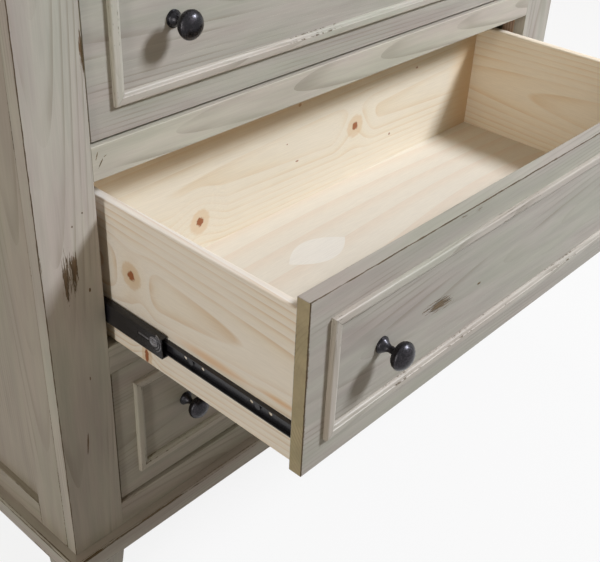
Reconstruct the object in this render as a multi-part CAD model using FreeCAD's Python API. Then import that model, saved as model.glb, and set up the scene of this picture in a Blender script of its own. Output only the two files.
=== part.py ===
"""Three-drawer dresser with a mirror on two rear supports, written as one STEP file per piece.

The pieces are laid out with x = 0 on the dresser's middle, y = 0 on the face frame's front
and z = 0 on the floor. On export they move along y, so that the part's origin lies on the
floor below the middle of the whole dresser, with its middle drawer pulled out.
"""
import FreeCAD
import Part
import os
from FreeCAD import Vector

# Case
case_width = 960.0
base_top_height = 120.0
stile_width = 72.4
face_thickness = 18.0
bottom_rail_height = 37.3
opening_height = 208.0
rail_height = 37.2
top_rail_height = 38.5
top_thickness = 24.0
top_overhang = 13.5
top_round = 4.0

# Side frames, with a panel in grooves
side_thickness = 22.0
side_rear_stile_width = 54.4
side_bottom_rail_height = 36.5
side_top_rail_height = 60.0
panel_thickness = 6.0
panel_recess = 8.0
panel_groove = 10.0
panel_edge_gap = 1.0
back_panel_thickness = 6.0
back_rabbet_width = 12.0

# Base frame and feet
base_rail_height = 30.0
base_rail_width = 85.9
base_projection = 13.5
base_lower_round = 8.0
base_upper_round = 2.5
foot_width = 72.4
foot_mid_width = 66.2
foot_mid_height = 52.2
foot_floor_width = 52.0

# Posts that carry the slides
front_post_depth = 20.0
rear_post_depth = 42.0

# Drawer fronts
front_clearance = 3.3
front_inset = 3.7
front_thickness = 15.6
rest_opening = 289.0

# Drawer boxes
side_gap = 12.7
box_wall = 13.0
box_height = 178.5
box_past_slide = 2.5
box_back_gap = 22.2
box_round = 3.0
floor_rise = 8.0
floor_thickness = 6.0
floor_groove = 6.0
floor_edge_gap = 0.5

# Moulding on the fronts: (inward from its outer edge, out from the front)
moulding_margin = 29.5
moulding_width = 13.0
moulding_flat = 7.5
moulding_height = 5.5
moulding_step = 1.0
moulding_step_run = 0.4
moulding_inner_height = 2.3

# Knobs: (radius, out from the front)
knob_edge_distance = 109.5
knob_base_radius = 10.0
knob_lip_height = 1.6
knob_shoulder = (8.2, 3.4)
knob_neck = (4.7, 9.5)
knob_neck_top = (6.4, 17.6)
knob_underside = (11.6, 19.4)
knob_rim_low = (14.2, 22.4)
knob_rim = (15.3, 25.6)
knob_rim_high = (14.0, 28.9)
knob_projection = 35.5
knob_bore_depth = 12.0

# Ball-bearing slides: reach is measured from the post towards the drawer
slide_length = 350.0
slide_setback = 4.0
slide_axis_rise = 43.2
slide_wall = 1.2
outer_half_height = 17.5
outer_reach = 10.4
outer_lip = 3.5
mid_half_height = 12.75
mid_start = 2.8
mid_reach = 10.6
mid_lip = 3.15
mid_lag = 34.0
mid_end_gap = 6.0
inner_half_height = 8.0
inner_start = 7.4
mid_slot_start = 21.0
mid_slot_length = 18.0
mid_slot_height = 4.0
ball_clearance = 0.1
outer_cage_reach = (4.2, 9.0)
inner_cage_reach = (5.0, 9.2)
cage_length = 120.0
cage_setback = 10.0
hole_radius = 2.5
front_hole = 34.0
rear_hole = 60.0
screw_hole = 50.0
hole_pitch = 96.0
hole_end_margin = 12.0
cabinet_screw_inset = 9.0

# Screws
screw_clearance = 0.1
slide_head_radius = 3.5
slide_head_height = 1.3
slide_shank_radius = 1.75
slide_screw_length = 12.0
knob_head_radius = 4.0
knob_head_height = 2.6
knob_shank_radius = 2.0
knob_thread = 11.0
support_head_radius = 4.0
support_head_height = 2.5
support_shank_radius = 2.0
support_screw_length = 38.0

# Mirror
mirror_height = 780.0
mirror_member = 65.0
mirror_thickness = 24.0
mirror_bevel = 6.0
mirror_bevel_drop = 4.0
mirror_rabbet = 8.0
glass_thickness = 4.0
backboard_thickness = 6.0
glass_edge_gap = 1.0
support_width = 45.0
support_thickness = 20.0
support_inset = 4.7
support_low = 440.0
support_top_drop = 49.0
case_screw_heights = (500.0, 740.0)
mirror_screw_heights = (60.0, 670.0)

# Worked out from the sizes above
case_half = case_width / 2
opening_half = case_half - stile_width
box_half = opening_half - side_gap
inner_half = box_half - box_wall
drawer_names = ("bottom", "middle", "top")
opening_pitch = opening_height + rail_height
carcass_height = (
    bottom_rail_height + len(drawer_names) * opening_pitch - rail_height + top_rail_height
)
carcass_top = base_top_height + carcass_height
top_surface = carcass_top + top_thickness
front_back = front_inset + front_thickness
box_back = front_back + slide_length + box_past_slide
case_depth = box_back + box_back_gap + back_panel_thickness
floor_bottom = front_clearance + floor_rise
slide_front = face_thickness + slide_setback
slide_back = slide_front + slide_length
slide_axis = front_clearance + slide_axis_rise
mid_length = slide_length - mid_lag - mid_end_gap
slide_screws = 1 + int((slide_length - screw_hole - hole_end_margin) // hole_pitch)
rear_post_back = case_depth - back_panel_thickness
post_outer = case_half - side_thickness
support_x = (opening_half + post_outer) / 2
mirror_width = 2 * (support_x + support_width / 2 + support_inset)
support_top = top_surface + mirror_height - support_top_drop
reach_front = rest_opening + knob_projection
reach_back = case_depth + support_thickness
face_y = (reach_front - reach_back) / 2


def box(x, y, z):
    """Return the box that spans the (low, high) pairs x, y and z."""
    size = (x[1] - x[0], y[1] - y[0], z[1] - z[0])
    return Part.makeBox(*size, Vector(x[0], y[0], z[0]))


def prism(points, travel):
    """Return the closed outline through points, pushed along travel."""
    corners = [Vector(*point) for point in points]
    return Part.Face(Part.makePolygon(corners + corners[:1])).extrude(Vector(*travel))


def rod(radius, start, direction, length):
    """Return a round rod."""
    return Part.makeCylinder(radius, length, Vector(*start), Vector(*direction))


def mirrored(shape):
    """Return the shape's twin on the dresser's other side."""
    return shape.mirror(Vector(0, 0, 0), Vector(1, 0, 0))


def both_sides(shape):
    """Return the shape and its twin on the other side."""
    return [shape, mirrored(shape)]


def cut_all(shape, tools):
    """Return the shape with every tool cut out of it."""
    for tool in tools:
        shape = shape.cut(tool)
    return shape


def long_edges(shape, axis, tests):
    """Return the straight edges along axis whose other coordinates match tests."""
    found = []
    for edge in shape.Edges:
        start, end = edge.firstVertex().Point, edge.lastVertex().Point
        along = end - start
        straight = abs(abs(getattr(along, axis)) - along.Length) < 1e-6
        if straight and all(abs(getattr(start, name) - value) < 1e-6 for name, value in tests):
            found.append(edge)
    return found


def screw(head_radius, head_height, shank_radius, length, seat, direction):
    """Return a screw whose head stands on seat and whose shank runs along direction."""
    back = Vector(*direction) * -1
    head = rod(head_radius, seat, back, head_height)
    return head.fuse(rod(shank_radius, seat, direction, length)).removeSplitter()


def export(node, shapes):
    """Move the shapes into the part's frame and write their solids as one node."""
    solids = [solid for shape in shapes for solid in shape.Solids]
    group = Part.Compound(solids) if len(solids) > 1 else solids[0].copy()
    group.translate(Vector(0, face_y, 0))
    group.exportStep(f"parts/{node}.step")


def mitred_frame(width, height, member, profile):
    """Return the bottom, top, left and right members of a mitred frame.

    The frame stands in the XZ plane around the origin. The profile lists its section as
    (inward from the outer edge, out along -y) points.
    """
    half_w = width / 2
    half_h = height / 2
    flat = [(-half_w, -out, -half_h + inward) for inward, out in profile]
    upright = [(-half_w + inward, -out, -half_h) for inward, out in profile]
    depth = max(out for _, out in profile)
    corner = (-half_w, -half_h)
    inner = (-half_w + member, -half_h + member)
    bottom_plan = [corner, (half_w, corner[1]), (-inner[0], inner[1]), inner]
    left_plan = [corner, inner, (inner[0], -inner[1]), (corner[0], half_h)]
    bottom_wedge = prism([(x, -depth, z) for x, z in bottom_plan], (0, depth, 0))
    left_wedge = prism([(x, -depth, z) for x, z in left_plan], (0, depth, 0))
    bottom = prism(flat, (width, 0, 0)).common(bottom_wedge)
    left = prism(upright, (0, 0, height)).common(left_wedge)
    top = bottom.mirror(Vector(0, 0, 0), Vector(0, 0, 1))
    return [bottom, top, left, mirrored(left)]


def moved(shapes, offset):
    """Return copies of the shapes, moved by offset."""
    copies = [shape.copy() for shape in shapes]
    for shape in copies:
        shape.translate(Vector(*offset))
    return copies


def opening_bottom(index):
    """Return the height of a drawer opening's lower edge."""
    return base_top_height + bottom_rail_height + index * opening_pitch


def rail_spans():
    """Return the (low, high) heights of the face frame's rails, by name."""
    first = opening_bottom(0)
    top_rail_low = carcass_top - top_rail_height
    return {
        "bottom": (base_top_height, first),
        "lower": (first + opening_height, opening_bottom(1)),
        "upper": (opening_bottom(1) + opening_height, opening_bottom(2)),
        "top": (top_rail_low, carcass_top),
    }


def make_face_frame():
    """Write the stiles and rails that frame the drawers."""
    depth = (0, face_thickness)
    stile = box((-case_half, -opening_half), depth, (base_top_height, carcass_top))
    export("face_stile_left", [stile])
    export("face_stile_right", [mirrored(stile)])
    for name, span in rail_spans().items():
        export(f"face_rail_{name}", [box((-opening_half, opening_half), depth, span)])


def make_sides():
    """Write both side frames: stiles, rails and the panel in their grooves."""
    outer = -case_half
    across = (outer, outer + side_thickness)
    rear_stile_front = case_depth - side_rear_stile_width
    rail_y = (stile_width, rear_stile_front)
    low_rail = (base_top_height, base_top_height + side_bottom_rail_height)
    high_rail = (carcass_top - side_top_rail_height, carcass_top)

    panel_x = (outer + panel_recess, outer + panel_recess + panel_thickness)
    reach = panel_groove - panel_edge_gap
    panel = box(
        panel_x,
        (rail_y[0] - reach, rail_y[1] + reach),
        (low_rail[1] - reach, high_rail[0] + reach),
    )
    groove = box(
        (panel_x[0] - screw_clearance, panel_x[1] + screw_clearance),
        (rail_y[0] - panel_groove, rail_y[1] + panel_groove),
        (low_rail[1] - panel_groove, high_rail[0] + panel_groove),
    )
    rabbet = box(
        (outer + side_thickness - back_rabbet_width, outer + side_thickness),
        (case_depth - back_panel_thickness, case_depth),
        (base_top_height, carcass_top),
    )
    height = (base_top_height, carcass_top)
    front_stile = box(across, (face_thickness, stile_width), height).cut(groove)
    rear_stile = box(across, (rear_stile_front, case_depth), height)
    rear_stile = cut_all(rear_stile, [groove, rabbet])
    rails = [box(across, rail_y, span).cut(groove) for span in (low_rail, high_rail)]

    for side, turn in (("left", lambda shape: shape), ("right", mirrored)):
        export(f"side_panel_{side}", [turn(panel)])
        export(f"side_stile_front_{side}", [turn(front_stile)])
        export(f"side_stile_rear_{side}", [turn(rear_stile)])
        export(f"side_rails_{side}", [turn(rail) for rail in rails])


def make_back_panel(holes):
    """Write the back panel, which sits in the rear stiles' rabbets."""
    half = case_half - side_thickness + back_rabbet_width - screw_clearance
    panel = box((-half, half), (rear_post_back, case_depth), (base_top_height, carcass_top))
    export("back_panel", [cut_all(panel, holes)])


def make_top_board():
    """Write the top board, with its front and side edges rounded over."""
    half = case_half + top_overhang
    board = box((-half, half), (-top_overhang, case_depth), (carcass_top, top_surface))
    edges = long_edges(board, "x", [("y", -top_overhang)])
    edges += long_edges(board, "y", [("x", -half)])
    edges += long_edges(board, "y", [("x", half)])
    export("top_board", [board.makeFillet(top_round, edges)])


def make_base_frame():
    """Write the base frame: rails mitred at the front corners, butted at the back."""
    half = case_half + base_projection
    front = -base_projection
    inner_x = half - base_rail_width
    inner_y = front + base_rail_width
    back = case_depth - base_rail_width
    low = base_top_height - base_rail_height
    rise = (0, 0, base_rail_height)
    front_plan = [(-half, front), (half, front), (inner_x, inner_y), (-inner_x, inner_y)]
    left_plan = [(-half, front), (-inner_x, inner_y), (-inner_x, back), (-half, back)]
    front_rail = prism([(x, y, low) for x, y in front_plan], rise)
    left_rail = prism([(x, y, low) for x, y in left_plan], rise)
    back_rail = box((-half, half), (back, case_depth), (low, base_top_height))

    lower = long_edges(front_rail, "x", [("y", front), ("z", low)])
    front_rail = front_rail.makeFillet(base_lower_round, lower)
    upper = long_edges(front_rail, "x", [("y", front), ("z", base_top_height)])
    front_rail = front_rail.makeFillet(base_upper_round, upper)
    lower = long_edges(left_rail, "y", [("x", -half), ("z", low)])
    left_rail = left_rail.makeFillet(base_lower_round, lower)
    upper = long_edges(left_rail, "y", [("x", -half), ("z", base_top_height)])
    left_rail = left_rail.makeFillet(base_upper_round, upper)
    for end in (-half, half):
        lower = long_edges(back_rail, "y", [("x", end), ("z", low)])
        back_rail = back_rail.makeFillet(base_lower_round, lower)
        upper = long_edges(back_rail, "y", [("x", end), ("z", base_top_height)])
        back_rail = back_rail.makeFillet(base_upper_round, upper)

    export("base_rail_front", [front_rail])
    export("base_rail_left", [left_rail])
    export("base_rail_right", [mirrored(left_rail)])
    export("base_rail_back", [back_rail])


def make_feet():
    """Write the four feet: outer faces upright, inner faces curving in to the floor."""
    height = base_top_height - base_rail_height
    outline = [
        Part.LineSegment(Vector(0, 0, 0), Vector(0, 0, height)),
        Part.LineSegment(Vector(0, 0, height), Vector(foot_width, 0, height)),
        Part.Arc(
            Vector(foot_width, 0, height),
            Vector(foot_mid_width, 0, foot_mid_height),
            Vector(foot_floor_width, 0, 0),
        ),
        Part.LineSegment(Vector(foot_floor_width, 0, 0), Vector(0, 0, 0)),
    ]
    face = Part.Face(Part.Wire([curve.toShape() for curve in outline]))
    across = face.extrude(Vector(0, foot_width, 0))
    along = face.copy()
    along.rotate(Vector(0, 0, 0), Vector(0, 0, 1), 90)
    along = along.extrude(Vector(foot_width, 0, 0))
    front_foot = across.common(along)
    front_foot.translate(Vector(-case_half, 0, 0))
    rear_foot = front_foot.mirror(Vector(0, case_depth / 2, 0), Vector(0, 1, 0))
    export("feet", both_sides(front_foot) + both_sides(rear_foot))


def cabinet_screw_seats():
    """Return the (y, z) places of the screws that hold the left cabinet members."""
    rows = (slide_front + cabinet_screw_inset, slide_back - cabinet_screw_inset)
    heights = [opening_bottom(index) + slide_axis for index in range(len(drawer_names))]
    return [(y, z) for z in heights for y in rows]


def make_posts(mirror_holes):
    """Write the posts behind the face stiles and before the back, drilled for screws."""
    across = (-post_outer, -opening_half)
    height = (base_top_height, carcass_top)
    radius = slide_shank_radius + screw_clearance
    pilots = [
        rod(radius, (-opening_half, y, z), (-1, 0, 0), slide_screw_length)
        for y, z in cabinet_screw_seats()
    ]
    front = box(across, (face_thickness, face_thickness + front_post_depth), height)
    rear = box(across, (rear_post_back - rear_post_depth, rear_post_back), height)
    front = cut_all(front, pilots)
    rear = cut_all(rear, pilots + mirror_holes)
    export("slide_posts", both_sides(front) + both_sides(rear))


def channel(start, mouth, half, lip, y, z):
    """Return a bent steel channel of one slide member on the left post.

    Args:
        start: Reach of the web's outer face.
        mouth: Reach of the flanges' free edges.
        half: Half of the channel's height.
        lip: How far the lips turn in from the flanges' outer faces, or 0 for none.
        y: Its (front, back) ends.
        z: Height of its axis.
    """
    way = slide_wall if mouth > start else -slide_wall
    lower = [(start, -half), (mouth, -half)]
    if lip:
        lower += [(mouth, lip - half), (mouth - way, lip - half), (mouth - way, slide_wall - half)]
    else:
        lower += [(mouth, slide_wall - half)]
    lower += [(start + way, slide_wall - half)]
    section = lower + [(reach, -rise) for reach, rise in reversed(lower)]
    points = [(reach - opening_half, y[0], z + rise) for reach, rise in section]
    return prism(points, (0, y[1] - y[0], 0))


def make_cabinet_members():
    """Write the slide members on the posts, and the screws that hold them."""
    radius = slide_shank_radius + screw_clearance
    seats = cabinet_screw_seats()
    holes = [rod(radius, (-opening_half, y, z), (1, 0, 0), slide_wall) for y, z in seats]
    members = []
    for index in range(len(drawer_names)):
        z = opening_bottom(index) + slide_axis
        span = (slide_front, slide_back)
        member = channel(0, outer_reach, outer_half_height, outer_lip, span, z)
        members.append(cut_all(member, holes))
    head = (slide_head_radius, slide_head_height, slide_shank_radius, slide_screw_length)
    screws = [screw(*head, (slide_wall - opening_half, y, z), (-1, 0, 0)) for y, z in seats]
    export("slide_outer_left", members)
    export("slide_outer_right", [mirrored(member) for member in members])
    export("slide_outer_screws", [twin for one in screws for twin in both_sides(one)])


def ball_cages(front, z):
    """Return the four ball retainers of one middle member, which starts at front."""
    back = front + mid_length
    outer_y = (back - cage_setback - cage_length, back - cage_setback)
    inner_y = (front + cage_setback, front + cage_setback + cage_length)
    outer_z = (mid_half_height, outer_half_height - slide_wall - ball_clearance)
    inner_z = (inner_half_height + ball_clearance, mid_half_height - slide_wall)
    cages = []
    for reach, y, rise in (
        (outer_cage_reach, outer_y, outer_z),
        (inner_cage_reach, inner_y, inner_z),
    ):
        x = (reach[0] - opening_half, reach[1] - opening_half)
        cages.append(box(x, y, (z + rise[0], z + rise[1])))
        cages.append(box(x, y, (z - rise[1], z - rise[0])))
    return cages


def make_middle_members(name, z, travel):
    """Write a drawer's middle slide members, which follow it at half its travel."""
    front = slide_front + mid_lag
    member = channel(
        mid_start, mid_reach, mid_half_height, mid_lip, (front, front + mid_length), z
    )
    slot_y = (front + mid_slot_start, front + mid_slot_start + mid_slot_length)
    slot_x = (mid_start - opening_half, mid_start + slide_wall - opening_half)
    member = member.cut(box(slot_x, slot_y, (z, z + mid_slot_height)))
    pieces = [twin for one in [member] + ball_cages(front, z) for twin in both_sides(one)]
    export(f"drawer_{name}_slide_mid", moved(pieces, (0, -travel / 2, 0)))


def drawer_screw_rows():
    """Return the y of each screw that holds a drawer member."""
    return [front_back + screw_hole + index * hole_pitch for index in range(slide_screws)]


def make_drawer_members(z):
    """Return the members screwed to a drawer's sides, with their row of holes."""
    span = (front_back, front_back + slide_length)
    member = channel(side_gap, inner_start, inner_half_height, 0, span, z)
    open_rows = [front_back + front_hole + index * hole_pitch for index in range(slide_screws)]
    open_rows += [
        front_back + rear_hole + index * hole_pitch for index in range(slide_screws - 1)
    ]
    web = (-box_half - slide_wall, slide_wall)
    holes = [rod(hole_radius, (web[0], y, z), (1, 0, 0), web[1]) for y in open_rows]
    pilot = slide_shank_radius + screw_clearance
    holes += [rod(pilot, (web[0], y, z), (1, 0, 0), web[1]) for y in drawer_screw_rows()]
    return both_sides(cut_all(member, holes))


def make_drawer_screws(z, knob_z):
    """Return a drawer's screws: one row on each slide member and one in each knob."""
    slide = (slide_head_radius, slide_head_height, slide_shank_radius, slide_screw_length)
    seat_x = -box_half - slide_wall
    screws = [screw(*slide, (seat_x, y, z), (1, 0, 0)) for y in drawer_screw_rows()]
    length = front_thickness + knob_thread
    knob = (knob_head_radius, knob_head_height, knob_shank_radius, length)
    screws.append(screw(*knob, (-knob_x(), front_back, knob_z), (0, -1, 0)))
    return [twin for one in screws for twin in both_sides(one)]


def knob_x():
    """Return a knob's distance from the dresser's middle."""
    return opening_half - front_clearance - knob_edge_distance


def make_knob(z):
    """Return the left knob: a rosette, a flared neck and a mushroom head."""
    def at(point):
        return Vector(point[0], -point[1], 0)

    lip = (knob_base_radius, knob_lip_height)
    crown_top = (0, knob_projection)
    rise = knob_projection - knob_rim_high[1]
    ball_radius = (knob_rim_high[0] ** 2 + rise**2) / (2 * rise)
    half_way = knob_rim_high[0] / 2
    drop = ball_radius - (ball_radius**2 - half_way**2) ** 0.5
    crown = (half_way, knob_projection - drop)
    outline = [
        Part.LineSegment(at((0, 0)), at((knob_base_radius, 0))),
        Part.LineSegment(at((knob_base_radius, 0)), at(lip)),
        Part.LineSegment(at(lip), at(knob_shoulder)),
        Part.Arc(at(knob_shoulder), at(knob_neck), at(knob_neck_top)),
        Part.Arc(at(knob_neck_top), at(knob_underside), at(knob_rim_low)),
        Part.Arc(at(knob_rim_low), at(knob_rim), at(knob_rim_high)),
        Part.Arc(at(knob_rim_high), at(crown), at(crown_top)),
        Part.LineSegment(at(crown_top), at((0, 0))),
    ]
    face = Part.Face(Part.Wire([curve.toShape() for curve in outline]))
    knob = face.revolve(Vector(0, 0, 0), Vector(0, 1, 0), 360)
    bore_radius = knob_shank_radius + screw_clearance
    knob = knob.cut(rod(bore_radius, (0, 0, 0), (0, -1, 0), knob_bore_depth))
    knob.translate(Vector(-knob_x(), front_inset, z))
    return knob


def moulding_profile():
    """Return the section of the moulding that frames a front's field."""
    step_height = moulding_height - moulding_step
    return [
        (0, 0),
        (0, moulding_height),
        (moulding_flat, moulding_height),
        (moulding_flat + moulding_step_run, step_height),
        (moulding_width, moulding_inner_height),
        (moulding_width, 0),
    ]


def make_drawer(name, index):
    """Write one drawer: front, moulding, box, knobs, screws and slide members."""
    low = opening_bottom(index)
    travel = rest_opening + front_inset if name == "middle" else 0.0
    front_z = (low + front_clearance, low + opening_height - front_clearance)
    middle_z = (front_z[0] + front_z[1]) / 2
    axis_z = low + slide_axis
    box_z = (front_z[0], front_z[0] + box_height)
    front_half = opening_half - front_clearance
    back_inner = box_back - box_wall

    floor_z = (low + floor_bottom, low + floor_bottom + floor_thickness)
    reach = floor_groove - floor_edge_gap
    floor = box(
        (-inner_half - reach, inner_half + reach), (front_back - reach, back_inner + reach), floor_z
    )
    groove = box(
        (-inner_half - floor_groove, inner_half + floor_groove),
        (front_back - floor_groove, back_inner + floor_groove),
        (floor_z[0] - screw_clearance, floor_z[1] + screw_clearance),
    )

    knob_hole = rod(
        knob_shank_radius + screw_clearance,
        (-knob_x(), front_inset, middle_z),
        (0, 1, 0),
        front_thickness,
    )
    front = box((-front_half, front_half), (front_inset, front_back), front_z)
    front = cut_all(front, [groove] + both_sides(knob_hole))

    side = box((-box_half, -inner_half), (front_back, box_back), box_z)
    top_edge = long_edges(side, "y", [("x", -box_half), ("z", box_z[1])])
    pilot = slide_shank_radius + screw_clearance
    pilot_depth = slide_screw_length - slide_wall
    pilots = [rod(pilot, (-box_half, y, axis_z), (1, 0, 0), pilot_depth) for y in drawer_screw_rows()]
    side = cut_all(side.makeFillet(box_round, top_edge), [groove] + pilots)
    back = box((-inner_half, inner_half), (back_inner, box_back), box_z).cut(groove)

    frame_width = 2 * (front_half - moulding_margin)
    frame_height = front_z[1] - front_z[0] - 2 * moulding_margin
    strips = mitred_frame(frame_width, frame_height, moulding_width, moulding_profile())

    pieces = {
        "front": [front],
        "moulding": moved(strips, (0, front_inset, middle_z)),
        "side_left": [side],
        "side_right": [mirrored(side)],
        "back": [back],
        "bottom": [floor],
        "knobs": both_sides(make_knob(middle_z)),
        "screws": make_drawer_screws(axis_z, middle_z),
        "slide_inner": make_drawer_members(axis_z),
    }
    for piece, shapes in pieces.items():
        export(f"drawer_{name}_{piece}", moved(shapes, (0, -travel, 0)))
    make_middle_members(name, axis_z, travel)


def mirror_screw_places():
    """Return the heights of each support's screws: into the case, then into the mirror."""
    into_case = [base_top_height + height for height in case_screw_heights]
    into_mirror = [top_surface + height for height in mirror_screw_heights]
    return into_case + into_mirror


def mirror_screw_holes():
    """Return the shank holes of all the supports' screws."""
    radius = support_shank_radius + screw_clearance
    holes = []
    for z in mirror_screw_places():
        seat = (-support_x, case_depth + support_thickness - support_head_height, z)
        holes += both_sides(rod(radius, seat, (0, -1, 0), support_screw_length))
    return holes


def make_mirror(holes):
    """Write the mirror: frame, glass, backboard, supports and their screws."""
    rabbet_depth = glass_thickness + backboard_thickness
    lip = mirror_member - mirror_rabbet
    profile = [
        (0, 0),
        (0, mirror_thickness),
        (mirror_member - mirror_bevel, mirror_thickness),
        (mirror_member, mirror_thickness - mirror_bevel_drop),
        (mirror_member, rabbet_depth),
        (lip, rabbet_depth),
        (lip, 0),
    ]
    middle_z = top_surface + mirror_height / 2
    members = mitred_frame(mirror_width, mirror_height, mirror_member, profile)
    members = moved(members, (0, case_depth, middle_z))
    export("mirror_frame", [cut_all(member, holes) for member in members])

    half_x = mirror_width / 2 - lip - glass_edge_gap
    half_z = mirror_height / 2 - lip - glass_edge_gap
    span_z = (middle_z - half_z, middle_z + half_z)
    glass_back = case_depth - backboard_thickness
    glass = box((-half_x, half_x), (glass_back - glass_thickness, glass_back), span_z)
    board = box((-half_x, half_x), (glass_back, case_depth), span_z)
    export("mirror_glass", [glass])
    export("mirror_backboard", [board])

    support = box(
        (-support_x - support_width / 2, -support_x + support_width / 2),
        (case_depth, case_depth + support_thickness),
        (base_top_height + support_low, support_top),
    )
    back = case_depth + support_thickness
    recess_radius = support_head_radius + screw_clearance
    recesses = [
        rod(recess_radius, (-support_x, back, z), (0, -1, 0), support_head_height)
        for z in mirror_screw_places()
    ]
    support = cut_all(support, holes + recesses)
    export("mirror_supports", both_sides(support))

    size = (support_head_radius, support_head_height, support_shank_radius, support_screw_length)
    screws = [
        screw(*size, (-support_x, back - support_head_height, z), (0, -1, 0))
        for z in mirror_screw_places()
    ]
    export("mirror_screws", [twin for one in screws for twin in both_sides(one)])


def main():
    """Write every piece of the dresser."""
    os.makedirs("parts", exist_ok=True)
    make_face_frame()
    make_sides()
    make_top_board()
    make_base_frame()
    make_feet()
    make_cabinet_members()
    for index, name in enumerate(drawer_names):
        make_drawer(name, index)
    holes = mirror_screw_holes()
    make_posts(holes)
    make_back_panel(holes)
    make_mirror(holes)


main()
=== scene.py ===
"""Looks of a washed and worn pine dresser with a mirror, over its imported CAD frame.

Every board, moulding, foot and knob is a surface worked out with numpy in millimetres of
the part's own frame and stands for the CAD node of the same name. The steel slides and
the screws are the CAD's own shapes with their finishes.
"""
import logging
import math
import zlib
from dataclasses import dataclass
from enum import Enum
from typing import Sequence

import bpy
import numpy as np
from mathutils import Matrix, Vector


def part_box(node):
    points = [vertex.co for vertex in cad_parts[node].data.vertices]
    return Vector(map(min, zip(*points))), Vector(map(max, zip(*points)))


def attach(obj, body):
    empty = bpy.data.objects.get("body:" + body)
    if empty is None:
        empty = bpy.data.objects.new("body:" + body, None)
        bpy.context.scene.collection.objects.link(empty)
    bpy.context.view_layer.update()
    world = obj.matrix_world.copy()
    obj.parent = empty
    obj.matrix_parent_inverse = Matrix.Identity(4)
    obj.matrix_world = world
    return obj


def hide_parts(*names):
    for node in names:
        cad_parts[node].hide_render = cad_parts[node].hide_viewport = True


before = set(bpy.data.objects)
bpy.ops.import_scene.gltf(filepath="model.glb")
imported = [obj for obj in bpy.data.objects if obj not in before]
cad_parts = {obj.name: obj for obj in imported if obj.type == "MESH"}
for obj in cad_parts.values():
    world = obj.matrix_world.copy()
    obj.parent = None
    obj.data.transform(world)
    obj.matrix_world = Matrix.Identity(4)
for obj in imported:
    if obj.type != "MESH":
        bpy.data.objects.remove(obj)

Point = tuple[float, float, float]
Pair = tuple[float, float]
Four = tuple[float, float, float, float]
Array = np.ndarray
Piece = bpy.types.Object
Socket = bpy.types.NodeSocket
log = logging.getLogger("dresser")

MM = 0.001
QUARTER = math.pi / 2
ARC_POINTS = 5  # on each rounded arris
SHARP_ANGLE = math.radians(40)  # from here on, two faces meet at a hard edge
ROUNDED = 1.5  # the radius in mm from which a moulding's corner is no arris
NEVER_WORN = 9.0  # mm from an arris, for metal, which isn't rubbed bare
PITH_DISTANCE = 70.0  # mm from the middle of its log to a board
RING_SCALE = 0.314159  # the wave texture's scale for one ring a metre
NOISE = (0.3, 0.7)  # the range that a noise pattern mostly keeps to
# What every node of a kind is set to here, unless a call says otherwise.
USUAL = {"MapRange": {"interpolation_type": "SMOOTHSTEP"}, "Mix": {"data_type": "RGBA"}}


class Axis(Enum):
    """The direction that a board's grain runs in."""

    X = 0
    Y = 1
    Z = 2


class Side(Enum):
    """The dresser's left and right, as seen by who opens its drawers."""

    LEFT = -1
    RIGHT = 1

    @property
    def word(self) -> str:
        """Return the side's name in the CAD."""
        return self.name.lower()

    def span(self, inner: float, outer: float) -> Pair:
        """Return the range of x on this side between two distances from the middle."""
        low, high = sorted((self.value * inner, self.value * outer))
        return low, high


class Level(Enum):
    """The drawers, by their names in the CAD."""

    BOTTOM = "bottom"
    MIDDLE = "middle"
    TOP = "top"


def linear(code: str) -> Four:
    """Turn an sRGB hex colour into linear light.

    Args:
        code: the colour as "#RRGGBB".

    Returns:
        Red, green, blue and alpha, from 0 to 1.
    """
    values = np.array([int(code[i:i + 2], 16) for i in (1, 3, 5)]) / 255
    light = np.where(values <= 0.04045, values / 12.92, ((values + 0.055) / 1.055) ** 2.4)
    return (float(light[0]), float(light[1]), float(light[2]), 1.0)


@dataclass(frozen=True)
class Mark:
    """A worn or stained spot on a painted face, or a knot in clear pine.

    Fields: its centre in the part's frame and its half sizes along x, y and z, in mm, how
    ragged its outline is, how much of the paint is gone and its turn in degrees about y.
    """

    centre: Point
    size: Point
    ragged: float = 0.6
    depth: float = 1.0
    turn: float = 0.0


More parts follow.
